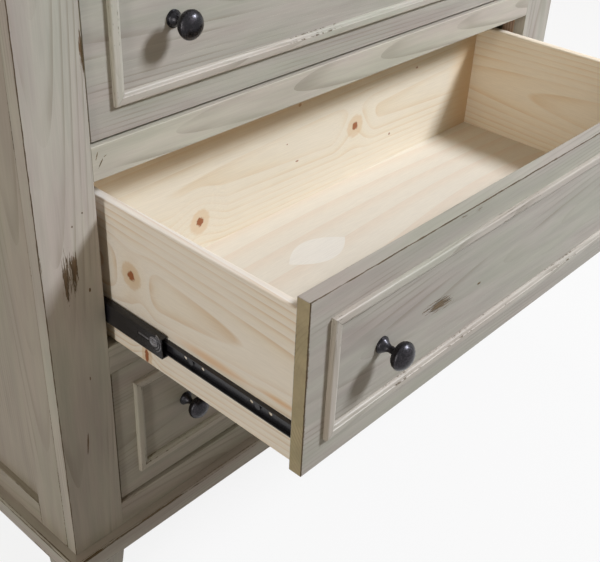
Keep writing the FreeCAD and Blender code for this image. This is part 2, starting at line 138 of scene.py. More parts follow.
class Nodes:
    """A node tree, with the patterns that several finishes share. Places are in metres."""

    def __init__(self, owner: bpy.types.Material | bpy.types.World) -> None:
        """Empty a node tree.

        Args:
            owner: the material or world that it belongs to.
        """
        owner.use_nodes = True
        self.tree = owner.node_tree
        self.tree.nodes.clear()

    def add(
        self, kind: str, inputs: dict | Sequence = (), out: int | str = 0,
        stops: Sequence[tuple[float, str]] = (), **settings: object,
    ) -> Socket | None:
        """Add a shader node with its settings and links.

        Args:
            kind: the node's type, without its "ShaderNode".
            inputs: a value, a hex colour or a socket to link for each input, in the
                node's own order or by name or number.
            out: the output that is wanted back.
            stops: a colour ramp's places and hex colours.
            settings: the node's own properties.

        Returns:
            The wanted output, or None for a node that has none.
        """
        node = self.tree.nodes.new("ShaderNode" + kind)
        for name, value in (USUAL.get(kind, {}) | settings).items():
            setattr(node, name, value)
        for key, value in inputs.items() if isinstance(inputs, dict) else enumerate(inputs):
            if isinstance(value, Socket):
                self.tree.links.new(value, node.inputs[key])
            else:
                node.inputs[key].default_value = linear(value) if isinstance(value, str) else value
        for index, (place, code) in enumerate(stops):
            elements = node.color_ramp.elements
            stop = elements[index] if index < 2 else elements.new(place)
            stop.position = place
            stop.color = linear(code)
        return node.outputs[out] if len(node.outputs) else None

    def noise(self, place: Socket, scale: Point, detail: float = 2.0, rough: float = 0.5) -> Socket:
        """Make a noise pattern.

        Args:
            place: where it is looked up.
            scale: its features' size along each axis, in mm.
            detail: how many finer octaves are added.
            rough: how strong those octaves are.

        Returns:
            The pattern, around 0.5.
        """
        wide = self.add("Mapping", {"Vector": place, "Scale": tuple(1 / (s * MM) for s in scale)})
        inputs = {"Vector": wide, "Scale": 1.0, "Detail": detail, "Roughness": rough}
        return self.add("TexNoise", inputs, "Fac")

    def rings(self, place: Socket, spacing: float, wander: float, stretch: float = 0.08) -> Socket:
        """Draw the growth rings of a log whose pith is the x axis.

        The value is a saw wave of sqrt(y^2 + z^2) / spacing, with noise added that is
        slow along the grain and quicker across it.

        Args:
            place: where in the log it is looked up.
            spacing: from ring to ring, in mm.
            wander: how far the rings stray, in radians of their phase.
            stretch: how much slower the noise changes along the grain.

        Returns:
            0 in early wood, rising to 1 in late wood.
        """
        slow = self.add("Mapping", {"Vector": place, "Scale": (stretch, 1.0, 1.0)})
        inputs = {"Vector": slow, "Scale": RING_SCALE / (spacing * MM), "Distortion": wander}
        inputs |= {"Detail": 2.0, "Detail Scale": 0.12, "Detail Roughness": 0.45}
        settings = {"wave_type": "RINGS", "rings_direction": "X", "wave_profile": "SAW"}
        return self.add("TexWave", inputs, "Fac", **settings)

    def local(self, place: Socket, mark: Mark, turn: Point) -> Socket:
        """Look at a place from a mark, in shares of the mark's half sizes.

        Args:
            place: the place in the part's frame.
            mark: the mark.
            turn: how far it is turned about x, y and z, in degrees.

        Returns:
            The place in the mark's own frame.
        """
        inputs = {
            "Vector": place,
            "Location": tuple(c * MM for c in mark.centre),
            "Rotation": tuple(math.radians(t) for t in turn),
            "Scale": tuple(s * MM for s in mark.size),
        }
        return self.add("Mapping", inputs, vector_type="TEXTURE")

    def away(self, place: Socket, mark: Mark) -> Socket:
        """Return the distance from a mark: 0 at its centre, 1 on its ellipsoid."""
        local = self.local(place, mark, (0.0, mark.turn, 0.0))
        return self.add("VectorMath", [local], "Value", operation="LENGTH")

    def shaded(self, colour: Socket | str, pattern: Socket, low: float, high: float) -> Socket:
        """Return the colour with its value changed, from low to high, by a pattern."""
        value = self.add("MapRange", [pattern, *NOISE, low, high])
        return self.add("HueSaturation", {"Color": colour, "Value": value})

    def layered(self, colour: Socket | str | Four, *layers: tuple[Socket, object]) -> Socket:
        """Lay other colours over one in turn.

        Args:
            colour: the colour at the bottom.
            layers: the share, from 0 to 1, and the colour of each one above it.

        Returns:
            The colour that shows.
        """
        for share, tone in layers:
            colour = self.add("Mix", {0: share, 6: colour, 7: tone}, 2)
        return colour

    def close(self, inputs: dict, height: Socket, depth: float) -> None:
        """End the tree with its surface shader.

        Args:
            inputs: the surface shader's inputs.
            height: the relief, from 0 to 1.
            depth: the relief's depth, in mm.
        """
        relief = self.add("Bump", {"Height": height, "Distance": depth * MM, "Strength": 1.0})
        surface = self.add("BsdfPrincipled", inputs | {"Normal": relief})
        self.add("OutputMaterial", {"Surface": surface})


@dataclass(frozen=True)
class Finish:
    """A surface finish, made once as a material of the same name."""

    name: str = "finish"

    def material(self) -> bpy.types.Material:
        """Find the finish's material, or make it at its first use.

        Returns:
            The material.
        """
        found = bpy.data.materials.get(self.name)
        if found:
            return found
        made = bpy.data.materials.new(self.name)
        self.fill(Nodes(made))
        return made

    def fill(self, nodes: Nodes) -> None:
        """Put the finish in the material's nodes."""
        raise NotImplementedError


@dataclass(frozen=True)
class WashedPine(Finish):
    """Pine under a thin grey wash of satin paint, brushed on and rubbed through at the edges.

    The brush leaves streaks along the grain, the wash shows some of the growth rings, and
    sanding has bared olive-brown wood on the arrises and in a few spots.
    """

    name: str = "washed_pine"
    mauve: str = "#ABA29A"
    grey: str = "#AEA99F"
    green: str = "#AAA89B"
    line: str = "#877F70"
    bared: str = "#765F40"
    burnt: str = "#463720"
    streak_width: float = 16.0
    brush_width: float = 1.6
    ring_spacing: float = 4.2
    roughness: float = 0.5
    bare_roughness: float = 0.75
    rub: Pair = (0.35, 2.0)
    marks: tuple[Mark, ...] = ()

    def fill(self, nodes: Nodes) -> None:
        """Put the wash, its streaks, its wear and its relief in the nodes.

        Args:
            nodes: the material's empty tree.
        """
        add = nodes.add
        grain = add("Attribute", out="Vector", attribute_name="grain")
        edge = add("Attribute", out="Fac", attribute_name="arris")
        place = add("TexCoord", out="Object")
        wide, fine = self.streak_width, self.brush_width
        # Sizes in mm, along and across the grain: clouds in the wash, streaks, bristle lines.
        tones = nodes.noise(grain, (240, 38, 38), 3.0, 0.6)
        streaks = nodes.noise(grain, (wide * 12, wide, wide), 3.0, 0.55)
        brush = nodes.noise(grain, (70, fine, fine), 2.0, 0.6)
        rings = nodes.rings(grain, self.ring_spacing, 9.0)

        stops = [(0.36, self.mauve), (0.5, self.grey), (0.64, self.green)]
        colour = add("ValToRGB", [tones], stops=stops)
        broad = add("MapRange", [streaks, *NOISE, 0.92, 1.07])
        narrow = add("MapRange", [brush, *NOISE, 0.97, 1.025])
        value = add("Math", [broad, narrow], operation="MULTIPLY")
        colour = add("HueSaturation", {"Color": colour, "Value": value})

        shows = add("MapRange", [nodes.noise(grain, (170, 40, 40)), 0.42, 0.64, 0.05, 0.5])
        late = add("MapRange", [rings, 0.55, 0.95])
        lines = add("Math", [late, shows], operation="MULTIPLY")
        bare = self.worn(nodes, edge, place, grain)
        fibres = add("MapRange", [brush, 0.35, 0.65])
        corner = add("MapRange", [edge, 2.2, 0.6, 0.0, 0.8])
        wood = nodes.layered(self.bared, (fibres, self.burnt), (corner, self.burnt))
        colour = nodes.layered(colour, (lines, self.line), (bare, wood))

        height = add("Math", [late, -0.35, brush], operation="MULTIPLY_ADD")
        height = add("Math", [bare, -1.2, height], operation="MULTIPLY_ADD")
        rough = add("MapRange", [bare, 0.0, 1.0, self.roughness, self.bare_roughness])
        inputs = {"Base Color": colour, "Roughness": rough, "Specular IOR Level": 0.3}
        nodes.close(inputs, height, 0.12)

    def worn(self, nodes: Nodes, edge: Socket, place: Socket, grain: Socket) -> Socket:
        """Find where the wash is rubbed through: near arrises, as far as noise says, and in marks.

        Args:
            nodes: the material's nodes.
            edge: the distance from the nearest arris, in mm.
            place: the place in the part's frame.
            grain: the place in the board's log.

        Returns:
            From 0 to 1, where the wood is bare.
        """
        add = nodes.add
        # The rubbing changes slowly over a hand's width and quickly over 5 mm.
        long = nodes.noise(place, (90, 90, 90), 1.0)
        short = nodes.noise(place, (5, 5, 5), 2.0, 0.6)
        both = add("Math", [long, 0.6], operation="MULTIPLY")
        both = add("Math", [short, 0.4, both], operation="MULTIPLY_ADD")
        reach = add("MapRange", [both, 0.45, 0.72, *self.rub])
        left = add("Math", [edge, reach], operation="SUBTRACT")
        bare = add("MapRange", [left, 0.2, -0.2, 0.0, 0.85])
        torn = nodes.noise(grain, (24, 1.3, 1.3), 3.0, 0.7) if self.marks else None
        for mark in self.marks:
            ragged = add("MapRange", [torn, *NOISE, -mark.ragged, mark.ragged])
            outline = add("Math", [nodes.away(place, mark), ragged])
            spot = add("MapRange", [outline, 1.0, 0.8, 0.0, mark.depth])
            bare = add("Math", [bare, spot], operation="MAXIMUM")
        return bare


@dataclass(frozen=True)
class ClearPine(Finish):
    """Planed pine under a clear matt lacquer.

    Pale early wood with orange-brown late-wood lines, bending round the knots.
    """

    name: str = "clear_pine"
    early: str = "#EAE0CF"
    middle: str = "#E4D5BD"
    late: str = "#D6B98F"
    heart: str = "#9A5F3C"
    halo: str = "#D8BA93"
    # The warm tint of the soft spots below: resin streaks in a side, painted shade on a back.
    flush_tone: str = "#E3B47E"
    ring_spacing: float = 6.5
    roughness: float = 0.52
    knots: tuple[Mark, ...] = ()
    specks: tuple[Mark, ...] = ()
    # Soft warm spots: resin streaks in the wood on one board, painted shade on another.
    flushes: tuple[Mark, ...] = ()

    def fill(self, nodes: Nodes) -> None:
        """Put the growth rings, the knots and the fibres in the nodes.

        Args:
            nodes: the material's empty tree.
        """
        add = nodes.add
        grain = add("Attribute", out="Vector", attribute_name="grain")
        place = add("TexCoord", out="Object")
        core = ring = 0.0
        if self.knots or self.specks:
            torn = add("MapRange", [nodes.noise(place, (5, 5, 5), 1.0), *NOISE, -0.2, 0.2])
        # In knot radii, the heart fades out from 0.95 to 1.5 and the halo from 3 to 4.
        for knot in self.knots:
            away = nodes.away(place, knot)
            # The rings are pushed out by up to 11 mm, up to 12 knot radii away.
            near = add("MapRange", [away, 12.0, 0.0, 0.0, 0.011])
            push = add("CombineXYZ", {"Z": near})
            grain = add("VectorMath", [grain, push], operation="ADD")
            away = add("Math", [away, torn])
            core = add("Math", [core, add("MapRange", [away, 1.5, 0.95])], operation="MAXIMUM")
            rim = add("MapRange", [away, 4.0, 3.0, 0.0, 0.55])
            ring = add("Math", [ring, rim], operation="MAXIMUM")
        rings = nodes.rings(grain, self.ring_spacing, 7.0)
        # Wood fibres are finer than 0.1 mm, so they are drawn 0.9 mm wide to show.
        fibres = nodes.noise(grain, (45, 0.9, 0.9), 2.0, 0.6)
        patches = nodes.noise(grain, (160, 30, 30))
        stops = [(0.0, self.early), (0.6, self.middle), (0.93, self.late), (1.0, self.early)]
        colour = add("ValToRGB", [rings], stops=stops)
        faint = add("MapRange", [patches, *NOISE, 0.15, 0.6])
        colour = nodes.layered(self.early, (faint, colour))
        layers = [(ring, self.halo), (core, self.heart)] if self.knots else []
        for speck in self.specks:
            away = add("Math", [nodes.away(place, speck), torn])
            layers.append((add("MapRange", [away, 1.1, 0.6, 0.0, 0.8]), self.heart))
        # Tint each soft spot in turn: on the side these are resin streaks, on the back painted
        # shade.
        for streak_or_shade in self.flushes:
            away = nodes.away(place, streak_or_shade)
            layers.append((add("MapRange", [away, 1.0, 0.1, 0.0, 0.6]), self.flush_tone))
        colour = nodes.layered(nodes.shaded(colour, fibres, 0.96, 1.03), *layers)
        inputs = {"Base Color": colour, "Roughness": self.roughness, "Specular IOR Level": 0.35}
        nodes.close(inputs, fibres, 0.05)


@dataclass(frozen=True)
class ClearPly(Finish):
    """Rotary-cut pine plywood, sanded, with one boat-shaped patch let into its face.

    A rotary-cut veneer shows the growth rings as broad wavy bands. The patch is the figure
    u^2 + |v| < 1, with u and v its place as shares of the patch's half sizes.
    """

    name: str = "clear_ply"
    face: str = "#E4DCCD"
    band: str = "#DBBFA6"
    patch_tone: str = "#E9E4DA"
    band_spacing: float = 32.0
    roughness: float = 0.55
    patch: Mark = Mark((-102.3, -87.4, 419.8), (51.5, 26.0, 8.0))
    patch_turn: float = -2.4

    def fill(self, nodes: Nodes) -> None:
        """Put the veneer's bands, its fibres and its patch in the nodes.

        Args:
            nodes: the material's empty tree.
        """
        add = nodes.add
        grain = add("Attribute", out="Vector", attribute_name="grain")
        place = add("TexCoord", out="Object")
        rings = nodes.rings(grain, self.band_spacing, 60.0, 0.35)
        fibres = nodes.noise(grain, (60, 1.2, 1.2), 2.0, 0.6)
        late = add("MapRange", [rings, 0.4, 0.95, 0.0, 0.26])
        local = nodes.local(place, self.patch, (0.0, 0.0, self.patch_turn))
        along = add("SeparateXYZ", [local], "X")
        across = add("Math", [add("SeparateXYZ", [local], "Y")], operation="ABSOLUTE")
        boat = add("Math", [along, along, across], operation="MULTIPLY_ADD")
        inlay = add("MapRange", [boat, 1.02, 0.98])
        colour = nodes.layered(self.face, (late, self.band), (inlay, self.patch_tone))
        colour = nodes.shaded(colour, fibres, 0.97, 1.03)
        inputs = {"Base Color": colour, "Roughness": self.roughness, "Specular IOR Level": 0.3}
        nodes.close(inputs, fibres, 0.04)


@dataclass(frozen=True)
class AgedPewter(Finish):
    """Cast zinc with a dark pewter plating, tumbled so that its high spots are lighter."""

    name: str = "aged_pewter"
    dark: str = "#242326"
    light: str = "#454146"
    roughness: Pair = (0.22, 0.38)

    def fill(self, nodes: Nodes) -> None:
        """Put the plating's clouds, 9 mm wide, and scuffs, 2 mm wide, in the nodes.

        Args:
            nodes: the material's empty tree.
        """
        place = nodes.add("TexCoord", out="Object")
        clouds = nodes.noise(place, (9, 9, 9), 3.0, 0.6)
        scuffs = nodes.noise(place, (2.2, 2.2, 2.2), 3.0, 0.7)
        both = nodes.add("Math", [clouds, scuffs], operation="MULTIPLY")
        colour = nodes.add("ValToRGB", [both], stops=[(0.22, self.dark), (0.48, self.light)])
        rough = nodes.add("MapRange", [scuffs, *NOISE, *self.roughness])
        nodes.close({"Base Color": colour, "Roughness": rough, "Metallic": 0.75}, scuffs, 0.02)


@dataclass(frozen=True)
class CoatedSteel(Finish):
    """Rolled steel under a thin coat: black dip on the slides, zinc on latches and screws."""

    name: str = "black_dipped_steel"
    dark: str = "#17161A"
    light: str = "#2A292D"
    metallic: float = 0.2
    roughness: Pair = (0.24, 0.39)

    def fill(self, nodes: Nodes) -> None:
        """Put the coat's unevenness along the rolling and its 1 mm grit in the nodes.

        Args:
            nodes: the material's empty tree.
        """
        place = nodes.add("TexCoord", out="Object")
        rolled = nodes.noise(place, (1.5, 40, 1.5), 2.0, 0.6)
        grit = nodes.noise(place, (1, 1, 1), 2.0, 0.7)
        colour = nodes.add("ValToRGB", [rolled], stops=[(0.35, self.dark), (0.7, self.light)])
        rough = nodes.add("MapRange", [grit, *NOISE, *self.roughness])
        inputs = {"Base Color": colour, "Roughness": rough, "Metallic": self.metallic}
        nodes.close(inputs, grit, 0.03)


@dataclass(frozen=True)
class SawnWood(Finish):
    """Unpainted softwood as it left the saw, with fuzzy fibres across its face."""

    name: str = "sawn_wood"
    pale: str = "#C2A791"
    dark: str = "#9F8272"

    def fill(self, nodes: Nodes) -> None:
        """Put the rings and the saw's fuzz in the nodes.

        Args:
            nodes: the material's empty tree.
        """
        grain = nodes.add("Attribute", out="Vector", attribute_name="grain")
        late = nodes.add("MapRange", [nodes.rings(grain, 4.5, 6.0), 0.4, 1.0])
        fuzz = nodes.noise(grain, (14, 0.8, 0.8), 3.0, 0.7)
        colour = nodes.shaded(nodes.layered(self.pale, (late, self.dark)), fuzz, 0.9, 1.06)
        nodes.close({"Base Color": colour, "Roughness": 0.8}, fuzz, 0.3)


@dataclass(frozen=True)
class SilveredGlass(Finish):
    """Float glass silvered on its back: a near-perfect mirror with a cool green cast."""

    name: str = "silvered_glass"
    silver: str = "#E3E9E6"

    def fill(self, nodes: Nodes) -> None:
        """Put the silver and the float glass's slow waves in the nodes.

        Args:
            nodes: the material's empty tree.
        """
        waves = nodes.noise(nodes.add("TexCoord", out="Object"), (220, 220, 220), 0.0)
        colour = nodes.shaded(self.silver, waves, 0.98, 1.0)
        nodes.close({"Base Color": colour, "Metallic": 1.0, "Roughness": 0.02}, waves, 0.01)


STILE_MARKS = (
    Mark((-451.3, -47.75, 514.0), (3.6, 4.0, 23.0), 0.75, 0.95),
    Mark((-442.0, -47.75, 522.0), (4.6, 4.0, 22.0), 0.7, 0.95),
    Mark((-446.8, -47.75, 284.0), (1.1, 4.0, 17.0), 0.2, turn=6.0),
    Mark((-424.9, -47.75, 582.4), (0.9, 4.0, 1.2), 0.2),
    Mark((-438.2, -47.75, 571.5), (0.8, 4.0, 1.5), 0.2),
    Mark((-424.2, -47.75, 489.1), (1.4, 4.0, 2.6), 0.3),
    Mark((-435.0, -47.75, 375.0), (0.9, 4.0, 2.5), 0.3),
    Mark((-407.6, -47.75, 744.0), (4.2, 3.0, 20.0), 0.4),
    Mark((-480.0, -47.75, 500.0), (0.75, 1.2, 900.0), 0.35, 0.95),
    Mark((-480.0, -47.75, 550.0), (1.7, 1.6, 24.0), 0.5, 0.95),
)
RAIL_MARKS = (
    Mark((-401.6, -47.75, 637.8), (0.7, 4.0, 4.6), 0.3, 0.9, turn=20.0),
    Mark((-397.6, -47.75, 628.4), (0.8, 4.0, 5.4), 0.3, 0.9, turn=34.0),
    Mark((-391.8, -47.75, 634.6), (2.6, 4.0, 0.5), 0.3, 0.8, turn=-20.0),
)
FRONT_MARKS = (
    Mark((-199.0, -336.8, 507.0), (22.0, 4.0, 6.4), 0.65, 0.85, turn=10.0),
    Mark((-178.7, -336.8, 602.7), (7.0, 4.0, 1.3), 0.8, 0.7),
    Mark((-150.0, -336.8, 600.8), (5.0, 4.0, 1.5), 0.8, 0.7),
    Mark((-125.5, -336.8, 500.1), (4.0, 4.0, 1.3), 0.5),
    Mark((0.0, -336.8, 607.2), (990.0, 1.1, 1.1), 0.35, 0.95),
    Mark((-404.3, -336.8, 500.0), (1.3, 1.3, 900.0), 0.35, 0.95),
    Mark((-404.3, -336.8, 535.0), (2.0, 1.7, 36.0), 0.5, 0.95),
    Mark((-404.3, -336.8, 468.0), (1.9, 1.7, 22.0), 0.5, 0.95),
)
BASE_MARKS = (
    Mark((-463.0, -60.8, 118.2), (21.0, 3.0, 2.4), 0.35),
    Mark((-375.0, -61.0, 118.6), (90.0, 1.9, 1.3), 0.5, 0.85),
    Mark((-493.3, 20.0, 117.6), (1.6, 78.0, 1.5), depth=0.9),
)
BACK_KNOTS = (
    Mark((-208.9, 18.3, 459.3), (4.6, 9.0, 4.8)),
    Mark((89.1, 18.3, 500.0), (4.8, 9.0, 4.8)),
)
BACK_SPECKS = (
    Mark((-30.2, 18.3, 565.6), (3.2, 4.0, 2.4)),
    Mark((-52.5, 18.3, 516.1), (1.6, 4.0, 1.2)),
    Mark((-31.1, 18.3, 484.7), (3.6, 4.0, 1.6)),
    Mark((226.8, 18.3, 553.0), (3.4, 4.0, 2.4)),
    Mark((173.3, 18.3, 462.2), (2.4, 4.0, 2.2)),
)
# Painted shade on the drawer's back: a warm tint along its top, where the upper rail's shadow falls,
# and at its right end, in the shaded corner by the right side.
BACK_PAINTED_SHADE = (
    Mark((-150.0, 18.3, 590.0), (460.0, 20.0, 62.0)),
    Mark((380.0, 18.3, 500.0), (75.0, 20.0, 260.0)),
)
SIDE_KNOTS = (
    Mark((-394.9, -81.1, 509.3), (9.0, 4.4, 4.6)),
    Mark((-394.9, -100.2, 415.7), (9.0, 2.4, 7.5)),
)
SIDE_FLUSHES = (
    Mark((-394.9, -205.0, 466.0), (9.0, 75.0, 9.0)),
    Mark((-394.9, -300.0, 470.0), (9.0, 40.0, 6.0)),
)

# How far the wash is rubbed from an arris, in mm: NEAT hardly, LIGHT a little.
NEAT, LIGHT = (-0.4, 0.4), (0.1, 0.9)
# Finishes that pieces share.
WASH = WashedPine()
FACE = WashedPine("washed_pine_neat", rub=NEAT)
TOP = WashedPine("washed_pine_top", roughness=0.7, rub=LIGHT)
# The case sides' wash is darker and browner than the front's: painted shade on the sides.
PAINTED_SHADE_SIDES = WashedPine("washed_pine_sides", "#A2988D", "#A59D91", "#A19C8D", rub=LIGHT)
MOULDING = WashedPine(
    "washed_pine_moulding", "#B6ADA2", "#B9B3A8", "#B4B2A4", roughness=0.4, rub=(-0.4, 0.3))
END_GRAIN = WashedPine("washed_end_grain", "#A89A7C", "#A99C7D", "#A39878", "#7E7256")
PINE = ClearPine()
PLY = ClearPly()
SAWN = SawnWood()
PEWTER = AgedPewter()
STEEL = CoatedSteel()
ZINC_SCREWS = CoatedSteel("dull_zinc_screws", "#4A4845", "#7C7A75", 0.85, (0.35, 0.5))
ZINC_LATCH = CoatedSteel("zinc_latch", "#5F5E63", "#A09FA4", 0.5, (0.25, 0.4))
GLASS = SilveredGlass()
# Finishes of single pieces, which come before the shared ones.
OWN: dict[str, Finish] = {
    # The left stile's wash is lighter than the face frame's: painted light. Its marks are real wear
    # and chips, and its darker bared tone is the bare wood.
    "face_stile_left": WashedPine(
        "washed_pine_left_stile", "#AFA69E", "#B2ADA2", "#AEACA0", bared="#6B543B", rub=NEAT,
        marks=STILE_MARKS),
    # The upper rail's wash is lighter and yellower than the rest of the face frame: painted light
    # from the open drawer below. Its marks are real scratches.
    "face_rail_upper": WashedPine(
        "washed_pine_upper_rail", "#BBB2A7", "#BEB8AA", "#BAB7A7", rub=NEAT, marks=RAIL_MARKS),
    "drawer_middle_front": WashedPine("washed_pine_middle_front", rub=LIGHT, marks=FRONT_MARKS),
    "base_rail_front": WashedPine("washed_pine_front_base", rub=LIGHT, marks=BASE_MARKS),
    "base_rail_left": WashedPine("washed_pine_left_base", rub=LIGHT, marks=BASE_MARKS),
    # The back's knots and specks are the wood's own; its flushes are painted shade.
    "drawer_middle_back": ClearPine(
        "clear_pine_back_knots", "#E6DCC9", "#E3D7BF", "#DAC29C", flush_tone="#E0B67C",
        knots=BACK_KNOTS, specks=BACK_SPECKS, flushes=BACK_PAINTED_SHADE),
    # The drawer's right side is paler and warmer than the other pine: painted bounce light on its
    # inner face, which lies in shade inside the drawer.
    "drawer_middle_side_right": ClearPine("clear_pine_right_side", "#F8ECD8", "#F6E6CC", "#E4C598"),
    "drawer_middle_side_left": ClearPine(
        "clear_pine_side_knots", "#F5EEE4", "#EFE3CF", "#D3B184", knots=SIDE_KNOTS,
        flushes=SIDE_FLUSHES),
}


def eased_section(half: Array, radii: Array, wear: float, inset: float) -> Array:
    """Draw a rectangle with rounded corners, anticlockwise.

    Corner k is centre + r (cos a, sin a), with a over its quarter turn, and one point
    more on each side, so that wear can fade along the face.

    Args:
        half: the rectangle's half sizes, in mm.
        radii: the four corners' radii, from (+, +) on anticlockwise.
        wear: how far from a corner the outer points lie.
        inset: how far the whole outline is drawn in.

    Returns:
        The points, as an array of (4 * (ARC_POINTS + 2), 2).
    """
    signs = np.array([(1, 1), (-1, 1), (-1, -1), (1, -1)])
    # The limits here keep the points in order where a face is narrow.
    round_to = np.maximum(radii - inset, 0.2 * radii)
    angle = np.arange(4)[:, None] * QUARTER + np.linspace(0, QUARTER, ARC_POINTS)
    centre = signs * (half - inset - round_to[:, None])
    arcs = centre[:, None] + round_to[:, None, None] * np.stack([np.cos(angle), np.sin(angle)], -1)
    travel = np.stack([-np.sin(angle), np.cos(angle)], -1)
    away = np.minimum(wear, 0.9 * half) - inset
    turns = np.array([away[::-1], away] * 2)
    run = np.maximum(turns - round_to[:, None], 0.05)
    before = arcs[:, 0] - travel[:, 0] * run[:, :1]
    after = arcs[:, -1] + travel[:, -1] * run[:, 1:]
    return np.concatenate([before[:, None], arcs, after[:, None]], 1).reshape(-1, 2)


def eased_rings(low: Array, high: Array, axis: int, radii: Array,
                end_radius: float, wear: float) -> Array:
    """Shape a bar with every arris rounded, as rings of points along its length.

    Near each end the section is drawn in by r (1 - sin f) at r (1 - cos f) from the end,
    with f over a quarter turn.

    Args:
        low: the bar's lowest corner, in mm.
        high: its highest corner.
        axis: the direction that it runs in.
        radii: the four long arrises' radii.
        end_radius: the end arrises' radius.
        wear: how far from an arris the wear can reach.

    Returns:
        The rings, as an array of (rings, points, 3).
    """
    across = [(axis + 1) % 3, (axis + 2) % 3]
    half = (high - low) / 2
    section = half[across]
    turn = np.linspace(0, QUARTER, ARC_POINTS)
    deep = min(wear, 0.9 * section.min())
    reach = min(wear, 0.9 * half[axis])
    along = np.concatenate([[0.0], end_radius * (1 - np.cos(turn)), [reach]])
    inset = np.concatenate([[deep], end_radius * (1 - np.sin(turn)), [0.0]])
    places = np.concatenate([along - half[axis], (half[axis] - along)[::-1]])
    insets = np.concatenate([inset, inset[::-1]])
    outlines = np.stack([eased_section(section, radii, wear, i) for i in insets])
    rings = np.empty(outlines.shape[:2] + (3,))
    rings[..., axis] = places[:, None]
    rings[..., across] = outlines
    return rings + (low + high) / 2


def softened(
    corners: Sequence[Pair], radii: Sequence[float], wear: float,
) -> tuple[Array, Array]:
    """Round a closed outline's corners and put points beside them.

    A corner c becomes the curve (1-t)^2 a + 2t(1-t) c + t^2 b, with a and b its radius
    away from it on its two sides.

    Args:
        corners: the outline's corners, in mm.
        radii: how far each corner's curve reaches.
        wear: how far from a corner the next point lies.

    Returns:
        The points, and each one's distance from the nearest arris.
    """
    spots = np.array(corners, float)
    reach = np.array(radii, float)[:, None]
    ahead = np.roll(spots, -1, 0) - spots
    span = np.linalg.norm(ahead, axis=1, keepdims=True)
    out = ahead / span
    back = -np.roll(out, 1, 0)
    # The limits here keep the points in order where a side is short.
    far_out = np.minimum(wear, 0.45 * span)
    far_back = np.roll(far_out, 1, 0)
    a = spots + back * np.minimum(reach, 0.9 * far_back)
    b = spots + out * np.minimum(reach, 0.9 * far_out)
    t = np.linspace(0, 1, ARC_POINTS)[None, :, None]
    curve = (1 - t) ** 2 * a[:, None] + 2 * t * (1 - t) * spots[:, None] + t ** 2 * b[:, None]
    beside = [(spots + back * far_back)[:, None], curve, (spots + out * far_out)[:, None]]
    points = np.concatenate(beside, 1)
    away = np.minimum(*(np.linalg.norm(points - end[:, None], axis=2) for end in (a, b)))
    away[np.array(radii) <= ROUNDED, 1:-1] = 0.0
    return points.reshape(-1, 2), away.reshape(-1)


def in_log(points: Array, axis: int, name: str) -> Array:
    """Find each point's place in the log that the board was sawn from.

    The board is turned and slightly tilted in it by amounts that its name settles, so
    that no two boards show the same figure.

    Args:
        points: places in mm.
        axis: the direction that the grain runs in.
        name: the board's name.

    Returns:
        Places in metres, with x along the log and y and z across it.
    """
    seed = np.random.default_rng(zlib.crc32(name.encode()))
    start = seed.uniform(-9, 9)  # in metres along the log
    swing = seed.uniform(-0.3, 0.3)  # in radians round it
    tilt = seed.uniform(0.02, 0.05) * seed.choice([-1, 1])  # from its pith, per mm along it
    low, high = points.reshape(-1, 3).min(0), points.reshape(-1, 3).max(0)
    local = points - (low + high) / 2
    sides = sorted([(axis + 1) % 3, (axis + 2) % 3], key=lambda side: high[side] - low[side])
    thin, wide, along = local[..., sides[0]], local[..., sides[1]], local[..., axis]
    across = wide * math.cos(swing) + thin * math.sin(swing)
    deep = thin * math.cos(swing) - wide * math.sin(swing) + along * tilt + PITH_DISTANCE
    return np.stack([along * MM + start, across * MM, deep * MM], -1)


def shell(
    name: str, rings: Array, axis: int, arris: Array | float = NEVER_WORN,
) -> Piece:
    """Make the closed surface through rings of points, with a fan over each end.

    Args:
        name: the piece's name.
        rings: points in mm, as (rings, points, 3), each ring closed on itself.
        axis: the direction that the grain runs in.
        arris: the points' distances from the nearest arris, in mm.

    Returns:
        The piece, with attributes: place in its log, distance from an arris, end faces.
    """
    count, around = rings.shape[:2]
    first = count * around
    index = np.arange(first).reshape(count, around)
    ahead = np.roll(index, -1, 1)
    quads = np.stack([index[:-1], ahead[:-1], ahead[1:], index[1:]], -1).reshape(-1, 4)
    start = np.stack([np.full(around, first), ahead[0], index[0]], -1)
    end = np.stack([np.full(around, first + 1), index[-1], ahead[-1]], -1)
    fans = np.concatenate([start, end])
    points, grain = (
        np.concatenate([grid.reshape(-1, 3), [grid[0].mean(0), grid[-1].mean(0)]])
        for grid in (rings, in_log(rings, axis, name))
    )
    near = np.broadcast_to(arris, (count, around))
    near = np.concatenate([near.reshape(-1), [near[0].max(), near[-1].max()]])
    corners = points[np.concatenate([quads[:, :3], quads[:, [0, 2, 3]], fans])]
    if np.einsum("ij,ij->", corners[:, 0], np.cross(corners[:, 1], corners[:, 2])) < 0:
        quads, fans = quads[:, ::-1], fans[:, ::-1]
    ended = np.zeros(len(quads) + len(fans), np.int32)
    ended[:around] = ended[len(quads) - around:] = 1
    mesh = bpy.data.meshes.new(name)
    mesh.from_pydata((points * MM).tolist(), [], quads.tolist() + fans.tolist())
    for title, kind, domain, field, values in (
        ("grain", "FLOAT_VECTOR", "POINT", "vector", grain.astype(np.float32)),
        ("arris", "FLOAT", "POINT", "value", near.astype(np.float32)),
        ("cap", "INT", "FACE", "value", ended),
    ):
        mesh.attributes.new(title, kind, domain).data.foreach_set(field, values.ravel())
    mesh.polygons.foreach_set("use_smooth", np.ones(len(ended), bool))
    mesh.set_sharp_from_angle(angle=SHARP_ANGLE)
    piece = bpy.data.objects.new(name, mesh)
    bpy.context.scene.collection.objects.link(piece)
    piece.modifiers.new("even_shading", "WEIGHTED_NORMAL").keep_sharp = True
    return piece


